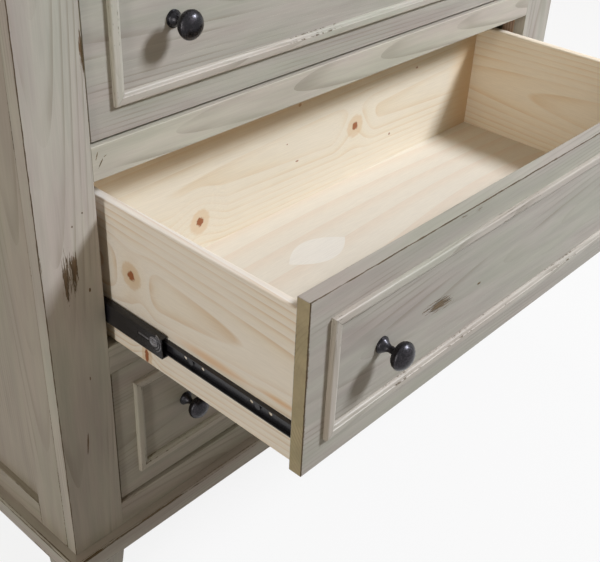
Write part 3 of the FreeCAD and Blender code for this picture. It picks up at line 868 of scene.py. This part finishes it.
def settle(piece: Piece, finish: Finish, body: str, slot: str,
           nodes: Sequence[str]) -> Piece:
    """Give a finished piece its finish and its place in the assembly.

    Args:
        piece: the piece.
        finish: what its whole surface is finished with.
        body: the body that it rides on.
        slot: not used.
        nodes: the CAD nodes that it stands for.

    Returns:
        The same piece.
    """
    piece.data.materials.append(finish.material())
    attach(piece, body)
    if nodes:
        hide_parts(*nodes)
    log.info("%s: %d faces, %s", piece.name, len(piece.data.polygons), finish.name)
    return piece


def dress(node: str, finish: Finish) -> None:
    """Put a finish on a CAD node that shows as it is.

    Args:
        node: the node's name.
        finish: what its whole surface is finished with.
    """
    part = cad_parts[node]
    part.data.materials.clear()
    part.data.materials.append(finish.material())
    log.info("%s keeps its CAD shape, %s", node, finish.name)


def node_box(node: str) -> tuple[Array, Array]:
    """Return a CAD node's lowest and highest corners, in mm."""
    low, high = (np.array(corner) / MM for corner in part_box(node))
    return low, high


def joined(name: str, pieces: Sequence[Piece]) -> Piece:
    """Make one object of several pieces, each keeping its own surface.

    Args:
        name: the object's name.
        pieces: the pieces, without finishes.

    Returns:
        The one object.
    """
    with bpy.context.temp_override(
        active_object=pieces[0], object=pieces[0], selected_editable_objects=list(pieces),
        selected_objects=list(pieces),
    ):
        bpy.ops.object.join()
    pieces[0].name = name
    return pieces[0]


@dataclass
class Board:
    """A planed board with its arrises eased, in place of the CAD node of its name."""

    name: str
    along: Axis
    finish: Finish
    low: Point | None = None
    high: Point | None = None
    body: str = "case"
    slot: str = "painted_wood"
    nodes: tuple[str, ...] = ()
    radii: Four = (0.8, 0.8, 0.8, 0.8)
    end_radius: float = 0.7
    wear: float = 5.0
    end_finish: Finish | None = None

    def build(self) -> Piece:
        """Build the board, with its own finish on both ends where it has one.

        Returns:
            The finished piece.
        """
        nodes = self.nodes or (self.name,)
        if self.low is None or self.high is None:
            low, high = node_box(nodes[0])
        else:
            low, high = np.array(self.low, float), np.array(self.high, float)
        axis = self.along.value
        rings = eased_rings(low, high, axis, np.array(self.radii), self.end_radius, self.wear)
        to_face = np.sort(np.minimum(rings - low, high - rings), -1)
        piece = shell(self.name, rings, axis, np.minimum(to_face[..., 1], self.wear))
        settle(piece, OWN.get(self.name, self.finish), self.body, self.slot, nodes)
        if self.end_finish:  # on the faces over both ends
            piece.data.materials.append(self.end_finish.material())
            caps = np.zeros(len(piece.data.polygons), np.int32)
            piece.data.attributes["cap"].data.foreach_get("value", caps)
            piece.data.polygons.foreach_set("material_index", caps)
        return piece


@dataclass
class Sheet(Board):
    """A thin sheet of plywood or glass with hardly eased arrises."""

    finish: Finish = PLY
    slot: str = "plywood"
    radii: Four = (0.3, 0.3, 0.3, 0.3)
    end_radius: float = 0.3


@dataclass
class Strip:
    """A moulded strip, its section carried from corner to corner and mitred at its ends.

    A point of the section lies at start + run s + inward u + out h, where s goes from
    u times the first mitre to the length less u times the second.
    """

    name: str
    section: Sequence[Pair]
    radii: Sequence[float]
    start: Point
    end: Point
    inward: Point
    out: Point = (0, -1, 0)
    mitres: Pair = (1.0, 1.0)
    joint: float = 0.15
    wear: float = 3.0

    def build(self) -> Piece:
        """Build the strip.

        Returns:
            The strip, without a finish.
        """
        outline, away = softened(self.section, self.radii, self.wear)
        start, end = np.array(self.start, float), np.array(self.end, float)
        length = np.linalg.norm(end - start)
        run = (end - start) / length
        u, h = outline[:, 0], outline[:, 1]
        steps = np.array([self.joint, self.joint + self.wear])
        near = self.mitres[0] * u + steps[:, None]
        far = length - self.mitres[1] * u - steps[::-1, None]
        along = np.concatenate([near, far])
        across = np.outer(u, self.inward) + np.outer(h, self.out)
        rings = start + along[..., None] * run + across[None]
        return shell(self.name, rings, int(np.abs(run).argmax()), away)


def mitred_frame(
    name: str, part: str, section: Sequence[Pair], radii: Sequence[float],
    low: Array, high: Array, y: float, wear: float = 3.0,
) -> Piece:
    """Build four mitred strips on an upright face.

    Args:
        name: the piece's name.
        part: the start of each strip's own name.
        section: the strips' section, from the frame's edge inwards.
        radii: its corners' radii.
        low: the frame's lowest corner, in mm.
        high: its highest corner.
        y: the face that it stands on.
        wear: how far from an arris the wear can reach.

    Returns:
        The strips as one piece, without a finish.
    """
    (x0, _, z0), (x1, _, z1) = low, high
    corners = [(x0, y, z0), (x1, y, z0), (x1, y, z1), (x0, y, z1)]
    inward = [(0, 0, 1), (-1, 0, 0), (0, 0, -1), (1, 0, 0)]
    strips = []
    for index, place in enumerate(("low", "right", "high", "left")):
        ends = corners[index], corners[(index + 1) % 4]
        strip = Strip(f"{part}_{place}", section, radii, *ends, inward[index], wear=wear)
        strips.append(strip.build())
    return joined(name, strips)


def turned(outline: Array, around: int) -> tuple[Array, Array, Array]:
    """Shape a turned surface: (r cos a, r sin a) across its axis at the height h.

    Args:
        outline: its radius r and height h, point by point.
        around: how many points stand round the axis.

    Returns:
        Both places across the axis, and the height along it, in rings.
    """
    angle = np.linspace(0, 2 * math.pi, around, endpoint=False)
    radius, high = outline[:, 0, None], outline[:, 1, None]
    return radius * np.cos(angle), radius * np.sin(angle), high


def stacked(*places: Array) -> Array:
    """Return the x, y and z of rings of points as one array."""
    return np.stack(np.broadcast_arrays(*places), -1)


@dataclass
class Carcass:
    """The face frame, the framed sides, the top, the back and the posts for the slides."""

    case_half: float = 480.0
    side_inner: float = 458.0
    opening_half: float = 407.6
    base_top: float = 120.0
    carcass_top: float = 894.2
    side_y: Pair = (24.65, 297.85)
    side_bottom_rail: float = 36.5
    side_top_rail: float = 60.0
    front_post_y: Pair = (-29.75, -9.75)
    rear_post_y: Pair = (304.25, 346.25)

    def build(self) -> None:
        """Build every board of the carcass."""
        for side in ("left", "right"):
            Board(f"face_stile_{side}", Axis.Z, FACE).build()
        for rail in ("top", "upper", "lower", "bottom"):
            Board(f"face_rail_{rail}", Axis.X, FACE, end_radius=0.3).build()
        for side in Side:
            self.side(side)
        Board("top_board", Axis.X, TOP, radii=(0.8, 4.0, 4.0, 0.8), end_radius=4.0).build()
        Sheet("back_panel", Axis.Z).build()
        for side in Side:
            self.posts(side)

    def side(self, side: Side) -> None:
        """Build a side's stiles, rails and panel.

        Args:
            side: which of the two sides.
        """
        for part in ("stile_front", "stile_rear", "panel"):
            Board(f"side_{part}_{side.word}", Axis.Z, PAINTED_SHADE_SIDES).build()
        x, y = side.span(self.side_inner, self.case_half), self.side_y
        low = (self.base_top, self.base_top + self.side_bottom_rail)
        high = (self.carcass_top - self.side_top_rail, self.carcass_top)
        for place, z in (("low", low), ("high", high)):
            name = f"side_rail_{place}_{side.word}"
            nodes = (f"side_rails_{side.word}",)
            Board(name, Axis.Y, PAINTED_SHADE_SIDES, *zip(x, y, z), nodes=nodes).build()

    def posts(self, side: Side) -> None:
        """Build a side's two posts that carry the slides.

        Args:
            side: which of the two sides.
        """
        x, z = side.span(self.opening_half, self.side_inner), (self.base_top, self.carcass_top)
        for place, y in (("front", self.front_post_y), ("rear", self.rear_post_y)):
            name = f"slide_post_{place}_{side.word}"
            ends = zip(x, y, z)
            Board(name, Axis.Z, SAWN, *ends, slot="bare_wood", nodes=("slide_posts",)).build()


@dataclass
class BaseFrame:
    """The projecting base frame, with its rounded ledge, and the four tapered feet."""

    half_width: float = 493.5
    front_y: float = -61.25
    back_y: float = 352.25
    rail_width: float = 85.9
    rail_height: float = 30.0
    top: float = 120.0
    upper_round: float = 2.5
    lower_round: float = 8.0
    inner_round: float = 0.6
    rail_joint: float = 0.05
    rail_wear: float = 6.0
    foot_top: float = 72.4
    foot_middle: Pair = (66.2, 52.2)
    foot_floor: float = 52.0
    foot_round: float = 1.0
    foot_wear: float = 5.0
    case_half: float = 480.0
    case_front: float = -47.75

    def build(self) -> None:
        """Build the four rails and the feet."""
        self.rails()
        for side in Side:
            for place, corner, turn in (("front", self.case_front, 1), ("rear", self.back_y, -1)):
                self.foot(f"foot_{place}_{side.word}", side, corner, turn)

    def rails(self) -> None:
        """Build the front and side rails, mitred in front, and the butted back rail."""
        wide, high = self.rail_width, self.rail_height
        section = [(0, 0), (wide, 0), (wide, high), (0, high)]
        fine = self.inner_round
        radii = (self.lower_round, fine, fine, self.upper_round)
        low, back = self.top - high, self.back_y - wide
        left, right = (-self.half_width, self.front_y, low), (self.half_width, self.front_y, low)
        runs = {
            "front": (left, right, (0, 1, 0), (1.0, 1.0)),
            "left": (left, (left[0], back, low), (1, 0, 0), (1.0, 0.0)),
            "right": (right, (right[0], back, low), (-1, 0, 0), (1.0, 0.0)),
        }
        for word, (start, end, inward, mitres) in runs.items():
            name = f"base_rail_{word}"
            strip = Strip(
                name, section, radii, start, end, inward, (0, 0, 1), mitres, self.rail_joint,
                self.rail_wear)
            settle(strip.build(), OWN.get(name, WASH), "case", "painted_wood", (name,))
        Board("base_rail_back", Axis.X, WASH, radii=(fine,) * 4, end_radius=2.5).build()

    def foot(self, name: str, side: Side, corner: float, turn: int) -> None:
        """Build a foot: outer faces upright, inner faces curving in to the floor.

        The foot's width at height z is the parabola through its widths at the floor, at
        its middle height and at its top.

        Args:
            name: the foot's name.
            side: the dresser's side that it stands on.
            corner: the y of its outer face.
            turn: 1 where it reaches back from that face, -1 where it reaches forward.
        """
        top = self.top - self.rail_height
        # The lowest rings ease the arris at the floor, and the others go evenly up the foot.
        eased = np.array([0.0, 0.3, 1.0])
        heights = np.concatenate([eased, np.linspace(6, top - 4, 14), [top]])
        widths = [self.foot_floor, self.foot_middle[0], self.foot_top]
        wide = np.polyval(np.polyfit([0.0, self.foot_middle[1], top], widths, 2), heights)
        inset = np.interp(heights, eased, [1.0, 0.3, 0.0])
        sections = np.stack([
            eased_section(np.full(2, w / 2), np.full(4, self.foot_round), self.foot_wear, i)
            for w, i in zip(wide, inset)
        ])
        x = side.value * self.case_half - side.value * wide / 2
        y = corner + turn * wide / 2
        rings = stacked(
            sections[..., 0] + x[:, None], sections[..., 1] + y[:, None], heights[:, None])
        to_face = np.sort(wide[:, None, None] / 2 - np.abs(sections), -1)[..., 1]
        piece = shell(name, rings, Axis.Z.value, np.minimum(to_face, self.foot_wear))
        settle(piece, WASH, "case", "painted_wood", ("feet",))


@dataclass
class Knob:
    """A turned knob: a dished foot, a waisted neck and a mushroom head.

    Its outline runs smoothly through the given points: between two of them it is the
    cubic in t whose slope at each is half the step from the point before to the one after.
    """

    centre: Point
    outline: Sequence[Pair] = (
        (9.3, 0.0), (9.3, 1.2), (9.0, 1.8), (8.2, 1.9), (8.0, 2.5), (7.4, 3.6), (5.9, 5.6),
        (4.5, 8.0), (3.8, 10.4), (4.0, 14.0), (5.4, 17.4), (8.2, 18.5), (11.6, 19.4),
        (13.4, 20.8), (14.6, 22.9), (15.3, 25.6), (15.0, 27.6), (14.0, 29.3), (12.0, 31.6),
        (9.2, 33.5), (6.0, 34.8), (3.0, 35.4), (0.4, 35.5),
    )
    around: int = 40

    def build(self, name: str) -> Piece:
        """Build the knob.

        Args:
            name: the piece's name.

        Returns:
            The knob, without a finish.
        """
        spots = np.array(self.outline)
        line = np.concatenate([spots[:1], spots, spots[-1:]])
        t = np.linspace(0, 1, 4)[:-1][:, None, None]
        p0, p1, p2, p3 = line[:-3], line[1:-2], line[2:-1], line[3:]
        curve = 0.5 * (
            2 * p1 + (p2 - p0) * t + (2 * p0 - 5 * p1 + 4 * p2 - p3) * t ** 2
            + (3 * p1 - p0 - 3 * p2 + p3) * t ** 3
        )
        profile = np.concatenate([curve.transpose(1, 0, 2).reshape(-1, 2), spots[-1:]])
        across, up, high = turned(profile, self.around)
        x, y, z = self.centre
        return shell(name, stacked(x + across, y - high, z + up), Axis.Y.value)


@dataclass
class Latch:
    """The catch at the front of a slide's middle member: a pressed boss, two ribs and a lever.

    A rib's line is (y - R cos a, z + R sin a) round the boss, with a from -1.15 to 1.15.
    """

    face: float
    side: Side
    front: float
    level: float
    boss: Sequence[Pair] = (
        (6.2, -0.2), (6.2, 0.8), (5.7, 1.1), (4.9, 1.0), (4.5, 0.4), (3.0, 0.3), (2.6, 1.0),
        (1.5, 1.1), (0.1, 1.0),
    )
    boss_setback: float = 12.4
    boss_rise: float = 4.2
    boss_around: int = 24
    rib: Sequence[Pair] = ((-0.2, -0.45), (0.9, -0.45), (1.05, 0.0), (0.9, 0.45), (-0.2, 0.45))
    rib_radii: Pair = (8.6, 11.6)
    rib_turn: float = 1.15
    rib_points: int = 15
    lever_y: Pair = (21.8, 38.2)
    lever_z: Pair = (0.9, 3.0)
    lever_depth: Pair = (0.2, 1.0)
    lever_round: float = 0.3

    def build(self, name: str) -> list[Piece]:
        """Build the boss, the two ribs and the lever.

        Args:
            name: the name that each of them gets.

        Returns:
            The four pieces, without a finish.
        """
        out, axis = float(self.side.value), Axis.Y.value
        y, z = self.front + self.boss_setback, self.level + self.boss_rise
        along, up, high = turned(np.array(self.boss), self.boss_around)
        pieces = [shell(name, stacked(self.face + out * high, y + along, z + up), axis)]
        section = np.array(self.rib)
        turn = np.linspace(-self.rib_turn, self.rib_turn, self.rib_points)[:, None]
        for radius in self.rib_radii:
            far = radius + section[:, 1]
            rings = stacked(
                self.face + out * section[:, 0], y - far * np.cos(turn), z + far * np.sin(turn))
            pieces.append(shell(name, rings, axis))
        x = sorted(self.face - out * deep for deep in self.lever_depth)
        low = np.array([x[0], self.front + self.lever_y[0], self.level + self.lever_z[0]])
        high = np.array([x[1], self.front + self.lever_y[1], self.level + self.lever_z[1]])
        radii = np.full(4, self.lever_round)
        rings = eased_rings(low, high, axis, radii, self.lever_round, 1.0)
        return [*pieces, shell(name, rings, axis)]


@dataclass
class Drawer:
    """An inset drawer: solid front with applied moulding, pine box and ply floor."""

    level: Level
    margin: float = 29.5
    moulding: Sequence[Pair] = (
        (0, 0), (13, 0), (13, 1.0), (11.9, 3.6), (8.6, 4.6), (8.2, 5.5), (0, 5.5))
    moulding_radii: Sequence[float] = (0.1, 0.1, 0.6, 2.0, 0.4, 0.5, 2.2)
    side_radii: tuple[float, ...] = (3.0, 0.6, 0.6, 3.0)
    back_radii: tuple[float, ...] = (3.0, 3.0, 0.6, 0.6)
    knob_inset: float = 109.5

    @property
    def word(self) -> str:
        """Return the drawer's name in the CAD."""
        return f"drawer_{self.level.value}"

    def build(self) -> None:
        """Build the drawer's boards, moulding and knobs, and dress its slides."""
        low, high = self.front()
        self.box()
        self.knobs(low, high)
        self.fittings()

    def front(self) -> tuple[Array, Array]:
        """Build the front and the four mitred strips on it.

        Returns:
            The front's lowest and highest corners, in mm.
        """
        word, edge = self.word, self.margin
        Board(f"{word}_front", Axis.X, FACE, body=word, end_finish=END_GRAIN).build()
        low, high = node_box(f"{word}_front")
        piece = mitred_frame(
            f"{word}_mouldings", f"{word}_moulding", self.moulding, self.moulding_radii,
            low + edge, high - edge, low[1])
        settle(piece, MOULDING, word, "painted_wood", (f"{word}_moulding",))
        return low, high

    def box(self) -> None:
        """Build the box: sides and back with rounded top edges, and the floor."""
        word = self.word
        parts = [(f"side_{side.word}", Axis.Y, self.side_radii) for side in Side]
        for part, along, radii in (*parts, ("back", Axis.X, self.back_radii)):
            name = f"{word}_{part}"
            Board(name, along, PINE, body=word, slot="pine", radii=radii, end_radius=0.3).build()
        Sheet(f"{word}_bottom", Axis.X, body=word).build()

    def knobs(self, low: Array, high: Array) -> None:
        """Build both knobs on the front.

        Args:
            low: the front's lowest corner, in mm.
            high: its highest corner.
        """
        pair = []
        for side, x in zip(Side, (low[0] + self.knob_inset, high[0] - self.knob_inset)):
            knob = Knob((x, low[1], (low[2] + high[2]) / 2))
            pair.append(knob.build(f"{self.word}_knob_{side.word}"))
        piece = joined(f"{self.word}_knob_pair", pair)
        settle(piece, PEWTER, self.word, "knob_metal", (f"{self.word}_knobs",))

    def fittings(self) -> None:
        """Build the latches and dress the slide members and screws."""
        low, high = node_box(f"{self.word}_slide_mid")
        pieces = []
        for side, face in zip(Side, (low[0], high[0])):
            latch = Latch(face, side, low[1], (low[2] + high[2]) / 2)
            pieces += latch.build(f"{self.word}_latch_{side.word}")
        latches = joined(f"{self.word}_latches", pieces)
        settle(latches, ZINC_LATCH, f"slide_mid_{self.level.value}", "black_steel", ())
        for part in ("slide_inner", "slide_mid", "screws"):
            dress(f"{self.word}_{part}", STEEL)


@dataclass
class MirrorStand:
    """The mirror: mitred frame, silvered glass and backboard on two supports."""

    member: float = 65.0
    thickness: float = 24.0
    bevel: Pair = (6.0, 4.0)
    rabbet: Pair = (8.0, 10.0)
    member_radii: Sequence[float] = (0.8, 0.3, 0.3, 0.5, 0.8, 0.8, 1.5)
    support_x: Pair = (410.3, 455.3)
    support_y: Pair = (352.25, 372.25)
    support_z: Pair = (560.0, 1649.2)

    def build(self) -> None:
        """Build the frame, the glass, the backboard and the supports."""
        self.framing()
        Sheet("mirror_backboard", Axis.Z).build()
        Sheet("mirror_glass", Axis.Z, GLASS, slot="mirror_glass").build()
        for side in Side:
            ends = zip(side.span(*self.support_x), self.support_y, self.support_z)
            name = f"mirror_support_{side.word}"
            Board(name, Axis.Z, WASH, *ends, nodes=("mirror_supports",)).build()
        dress("mirror_screws", ZINC_SCREWS)

    def framing(self) -> None:
        """Build the four mitred members, bevelled towards the glass and rabbeted behind it."""
        low, high = node_box("mirror_frame")
        wide, thick = self.member, self.thickness
        lip, deep = self.rabbet
        run, drop = self.bevel
        section = [
            (0, 0), (wide - lip, 0), (wide - lip, deep), (wide, deep),
            (wide, thick - drop), (wide - run, thick), (0, thick),
        ]
        piece = mitred_frame(
            "mirror_members", "mirror_member", section, self.member_radii, low, high, high[1], 5.0)
        settle(piece, WASH, "case", "painted_wood", ("mirror_frame",))


@dataclass(frozen=True)
class Lamp:
    """An area lamp: its place, what it faces, its power in watts, its size and its colour."""

    at: Point
    on: Point
    power: float
    size: Pair
    colour: Point = (1.0, 1.0, 1.0)
    shape: str = "DISK"

    def hang(self, name: str) -> None:
        """Hang the lamp at its place, facing its target.

        Args:
            name: the lamp's name.
        """
        light = bpy.data.lights.new(name, "AREA")
        light.energy, light.color, light.shape = self.power, self.colour, self.shape
        light.size, light.size_y = self.size
        lamp = bpy.data.objects.new(name, light)
        lamp.location = self.at
        lamp.rotation_euler = (Vector(self.at) - Vector(self.on)).to_track_quat("Z", "Y").to_euler()
        bpy.context.scene.collection.objects.link(lamp)


@dataclass
class Studio:
    """A pale floor, three soft lamps, plain light all round and the photograph's camera."""

    camera_at: Point = (-0.90183, -0.75828, 1.05870)
    right: Point = (0.675255, -0.736227, 0.044721)
    up: Point = (0.381734, 0.400713, 0.832892)
    back: Point = (-0.631118, -0.545343, 0.551626)
    lens: float = 57.038
    shift: Pair = (-0.0070995, 0.0033223)
    key: Lamp = Lamp((1.75, -2.2, 2.85), (-0.2, -0.1, 0.6), 150.0, (0.75, 0.75), (0.875, 0.92, 1.0))
    strip: Lamp = Lamp(
        (-2.8, -0.7, 0.9), (-0.4, -0.05, 0.9), 26.0, (0.3, 2.0), (1.0, 0.975, 0.92), "RECTANGLE")
    rear: Lamp = Lamp((0.2, 3.2, 1.7), (0.0, 0.3, 0.9), 34.0, (2.2, 2.2))
    front_light: float = 0.17
    rear_light: float = 0.26
    round_colour: Point = (1.0, 0.89, 0.66)
    overhead_colour: Point = (1.0, 0.67, 0.36)
    floor_half: float = 6.0
    floor_dull: str = "#7A7164"
    floor_pale: str = "#F2F2F2"
    floor_glow: float = 0.9
    ground: str = "#FBFBFB"

    def build(self) -> None:
        """Set up the floor, the lamps, the light all round and the camera."""
        self.floor()
        self.key.hang("key")
        self.strip.hang("strip")
        self.rear.hang("rear")
        self.surroundings()
        self.camera()
        bpy.context.scene.view_settings.view_transform = "Standard"

    def floor(self) -> None:
        """Lay a pale floor that keeps the dresser's shadow on a white ground."""
        far = self.floor_half
        mesh = bpy.data.meshes.new("floor")
        corners = [(-far, -far, 0), (far, -far, 0), (far, far, 0), (-far, far, 0)]
        mesh.from_pydata(corners, [], [(0, 1, 2, 3)])
        ground = bpy.data.objects.new("floor", mesh)
        bpy.context.scene.collection.objects.link(ground)
        material = bpy.data.materials.new("pale_floor")
        nodes = Nodes(material)
        seen = self.seen(nodes)
        colour = nodes.layered(self.floor_dull, (seen, self.floor_pale))
        lit = nodes.add("BsdfDiffuse", {"Color": colour})
        white = nodes.add("Emission", {"Color": self.ground, "Strength": 1.0})
        share = nodes.add("Math", [seen, self.floor_glow], operation="MULTIPLY")
        nodes.add("OutputMaterial", {"Surface": nodes.add("MixShader", [share, lit, white])})
        mesh.materials.append(material)

    @staticmethod
    def seen(nodes: Nodes) -> Socket:
        """Find the rays that show the ground to the camera, in gloss or through glass.

        Args:
            nodes: the tree that the answer is for.

        Returns:
            1 for those rays, 0 for all others.
        """
        total = nodes.add("LightPath", out="Is Camera Ray")
        for kind in ("Is Glossy Ray", "Is Transmission Ray"):
            total = nodes.add("Math", [total, nodes.add("LightPath", out=kind)], operation="MAXIMUM")
        return total

    def surroundings(self) -> None:
        """Light the dresser from all round, dimmer in front and warmer from above."""
        world = bpy.data.worlds.new("studio")
        nodes = Nodes(world)
        way = nodes.add("TexCoord", out="Generated")
        deep, high = (nodes.add("SeparateXYZ", [way], axis) for axis in "YZ")
        lights = (self.front_light, self.rear_light)
        even = {"interpolation_type": "LINEAR"}
        strength = nodes.add("MapRange", [deep, -0.6, 1.0, *lights], **even)
        share = nodes.add("MapRange", [high, 0.2, 0.9], **even)
        warm = nodes.layered((*self.round_colour, 1), (share, (*self.overhead_colour, 1)))
        plain = nodes.add("Background", {"Color": warm, "Strength": strength})
        white = nodes.add("Background", {"Color": (1, 1, 1, 1), "Strength": 1.0})
        both = nodes.add("MixShader", [self.seen(nodes), plain, white])
        nodes.add("OutputWorld", {"Surface": both})
        bpy.context.scene.world = world

    def camera(self) -> None:
        """Stand the camera where the photograph was taken from."""
        lens = bpy.data.cameras.new("photo")
        lens.lens = self.lens
        lens.sensor_width = 36.0
        lens.sensor_fit = "HORIZONTAL"
        lens.shift_x, lens.shift_y = self.shift
        lens.clip_end = 50.0
        eye = bpy.data.objects.new("photo", lens)
        turn = Matrix((self.right, self.up, self.back)).transposed()
        eye.matrix_world = Matrix.Translation(self.camera_at) @ turn.to_4x4()
        bpy.context.scene.collection.objects.link(eye)
        bpy.context.scene.camera = eye


def main() -> None:
    """Build the dresser's looks and the studio round it."""
    logging.basicConfig(level=logging.INFO, format="%(name)s: %(message)s")
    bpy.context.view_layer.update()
    Carcass().build()
    BaseFrame().build()
    for level in Level:
        Drawer(level).build()
    for side in Side:
        dress(f"slide_outer_{side.word}", STEEL)
    dress("slide_outer_screws", ZINC_SCREWS)
    MirrorStand().build()
    Studio().build()
    bpy.context.view_layer.update()


if __name__ == "__main__":
    main()
